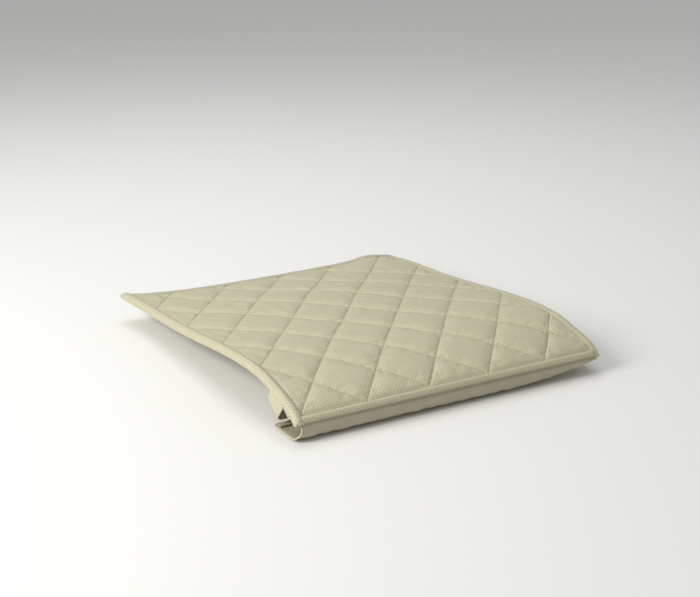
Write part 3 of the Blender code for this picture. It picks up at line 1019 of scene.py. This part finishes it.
def makeTab(word, s=tabSet):
    length = tabLength(sum(s["straight"]) / 2)
    width = s["edgeAt"][1] - s["edgeAt"][0]
    bm = flatSheet(width, length, 26, 34)
    middle = thicken(bm, s["thickness"])

    def place(spots):
        share = spots[:, 0] / width + 0.5
        straight = s["straight"][0] + (s["straight"][1] - s["straight"][0]) * share
        at = (spots[:, 1] / length + 0.5) * tabLength(straight)
        return inTab(word, share, at, spots[:, 2] - middle)

    shapeVerts(bm, place)
    tab = finishPiece("side_tab_" + word, bm, smoothLeatherette, None,
                      ["corner_tab_" + word])
    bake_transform(tab)
    # the rolled hem: down the rear edge, along the tucked end and up the front edge
    spots = []
    edgeLength = [tabLength(straight) for straight in s["straight"]]
    for share, run in ((1.0, np.linspace(s["above"], edgeLength[1], 30)),
                       (0.0, np.linspace(edgeLength[0], s["above"], 36))):
        if share == 0.0:
            mid = np.linspace(0.94, 0.06, 14)
            tucked = edgeLength[0] + (edgeLength[1] - edgeLength[0]) * mid
            spots += list(inTab(word, mid, tucked, 0 * mid))
        spots += list(inTab(word, np.full_like(run, share), run, 0 * run))
    bm = rollPiece("tab_hem_" + word, spots, s["hem"])
    hem = finishPiece("tab_hem_" + word, bm, smoothLeatherette, None,
                      ["tab_piping_" + word])
    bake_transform(hem)


for word in ("left", "right"):
    makeTab(word)


# rear straps

strapSet = {
    "thickness": 1.5 * mm, "bend": 9.25 * mm, "above": 4 * mm, "loop": 34 * mm,
    # the weft colour is painted shade for the dips between the yarns
    "patch": 38 * mm, "patchGap": 0.3 * mm, "colour": "#c4bd9c", "weft": "#aba482",
    "seamAbove": 2 * mm, "seamBelow": 3 * mm,
    "hook": "#cfcab6", "loopPile": "#d3cebb",
}


def wovenWebbing(s=strapSet):
    # polypropylene webbing: a tight twill of flat yarns about 1.2 mm wide, with a slight sheen
    made, tree, shader = newMaterial("polypropylene_webbing")
    sized = inMillimetres(tree, True)
    warp = addNode(tree, "ShaderNodeTexWave", {"Vector": sized, "Scale": 0.26, "Distortion": 0.4},
                   bands_direction="X")
    weft = addNode(tree, "ShaderNodeTexWave", {"Vector": sized, "Scale": 0.2, "Distortion": 0.4},
                   bands_direction="DIAGONAL")
    height = addNode(tree, "ShaderNodeMath", {0: warp.outputs["Fac"], 1: weft.outputs["Fac"]},
                     operation="MULTIPLY")
    # darker where the weave's height is low: painted shade between the yarns
    colour = blendColours(tree, height.outputs[0], linear(s["weft"]), linear(s["colour"]))
    tree.links.new(colour, shader.inputs["Base Color"])
    addBump(tree, shader, height.outputs[0], 0.7, 0.35 * mm)
    shader.inputs["Roughness"].default_value = 0.6
    shader.inputs["Sheen Weight"].default_value = 0.2
    return made


def tape(name, colour, size, sheen):
    # knitted nylon hook-and-loop tape: rows of stiff hooks, or a brushed pile of loops
    made, tree, shader = newMaterial(name)
    sized = inMillimetres(tree, False)
    tuft = addNode(tree, "ShaderNodeTexVoronoi", {"Vector": sized, "Scale": 1 / size,
                                                  "Randomness": 0.5})
    fuzz = addNode(tree, "ShaderNodeTexNoise", {"Vector": sized, "Scale": 2.4, "Detail": 4})
    height = addNode(tree, "ShaderNodeMath", {0: tuft.outputs["Distance"], 1: -1.2,
                                              2: fuzz.outputs[0]}, operation="MULTIPLY_ADD")
    # darker away from each tuft, where the pile is low: painted shade in the hollows of the pile
    pileHollowShade = [c * 0.6 for c in linear(colour)[:3]] + [1]
    tone = blendColours(tree, tuft.outputs["Distance"], linear(colour), pileHollowShade)
    tree.links.new(tone, shader.inputs["Base Color"])
    addBump(tree, shader, height.outputs[0], 0.9, 0.5 * mm)
    shader.inputs["Roughness"].default_value = 0.85
    shader.inputs["Sheen Weight"].default_value = sheen
    return made


def strapPath(word, s=strapSet):
    low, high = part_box("rear_strap_" + word)
    patchLow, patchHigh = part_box("hook_patch_" + word)
    half = s["thickness"] / 2
    y, floor = high.y - half - 0.15 * mm, low.z + half
    down = high.z - floor - s["bend"] + s["above"]
    forward = s["loop"] + s["thickness"] - 2 * s["bend"]
    slope = np.arctan2(patchHigh.z - patchLow.z - 1.5 * mm, patchHigh.y - patchLow.y)
    upright = patchLow.z - half - s["patchGap"] - floor - 2 * s["bend"]
    return bentPath((y, high.z + s["above"]), -pi / 2,
                    [down, (-pi / 2, s["bend"]), forward, (-pi / 2, s["bend"]), max(upright, 2 * mm),
                     (pi / 2 - slope, s["bend"]), s["patch"]])


def makeStrap(word, s=strapSet):
    low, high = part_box("rear_strap_" + word)
    path = strapPath(word)
    length = path[0][-1]
    width = high.x - low.x
    bm = flatSheet(width, length, 12, 110)
    middle = thicken(bm, s["thickness"])

    def place(spots):
        y, z = onPath(path, spots[:, 1] + length / 2, spots[:, 2] - middle)
        return np.stack([spots[:, 0] + (low.x + high.x) / 2, y, z], 1)

    shapeVerts(bm, place)
    strap = finishPiece("strap_" + word, bm, webbing, None,
                        ["rear_strap_" + word])
    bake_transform(strap)


def makePatch(kind, word, finish, body):
    # a patch of tape with softened edges, where the frame has it
    node = frame["nodes"][kind + "_patch_" + word]
    bm = bmesh.new()
    bm.from_mesh(node.data)
    bmesh.ops.remove_doubles(bm, verts=bm.verts, dist=0.01 * mm)
    bmesh.ops.dissolve_limit(bm, angle_limit=radians(2), verts=bm.verts, edges=bm.edges)
    bmesh.ops.bevel(bm, geom=bm.edges[:], offset=0.5 * mm, segments=3, profile=0.5,
                    affect="EDGES", material=-1)
    stampCut(bm)
    finishPiece(kind + "_tape_" + word, bm, finish, body, [kind + "_patch_" + word])


webbing = wovenWebbing()
hookTape = tape("nylon_hook_tape", strapSet["hook"], 1.4, 0.05)
loopTape = tape("brushed_nylon_loop_tape", strapSet["loopPile"], 0.8, 0.5)
for word in ("left", "right"):
    makeStrap(word)
    makePatch("hook", word, hookTape, "strap_" + word)
    makePatch("loop", word, loopTape, "pad")
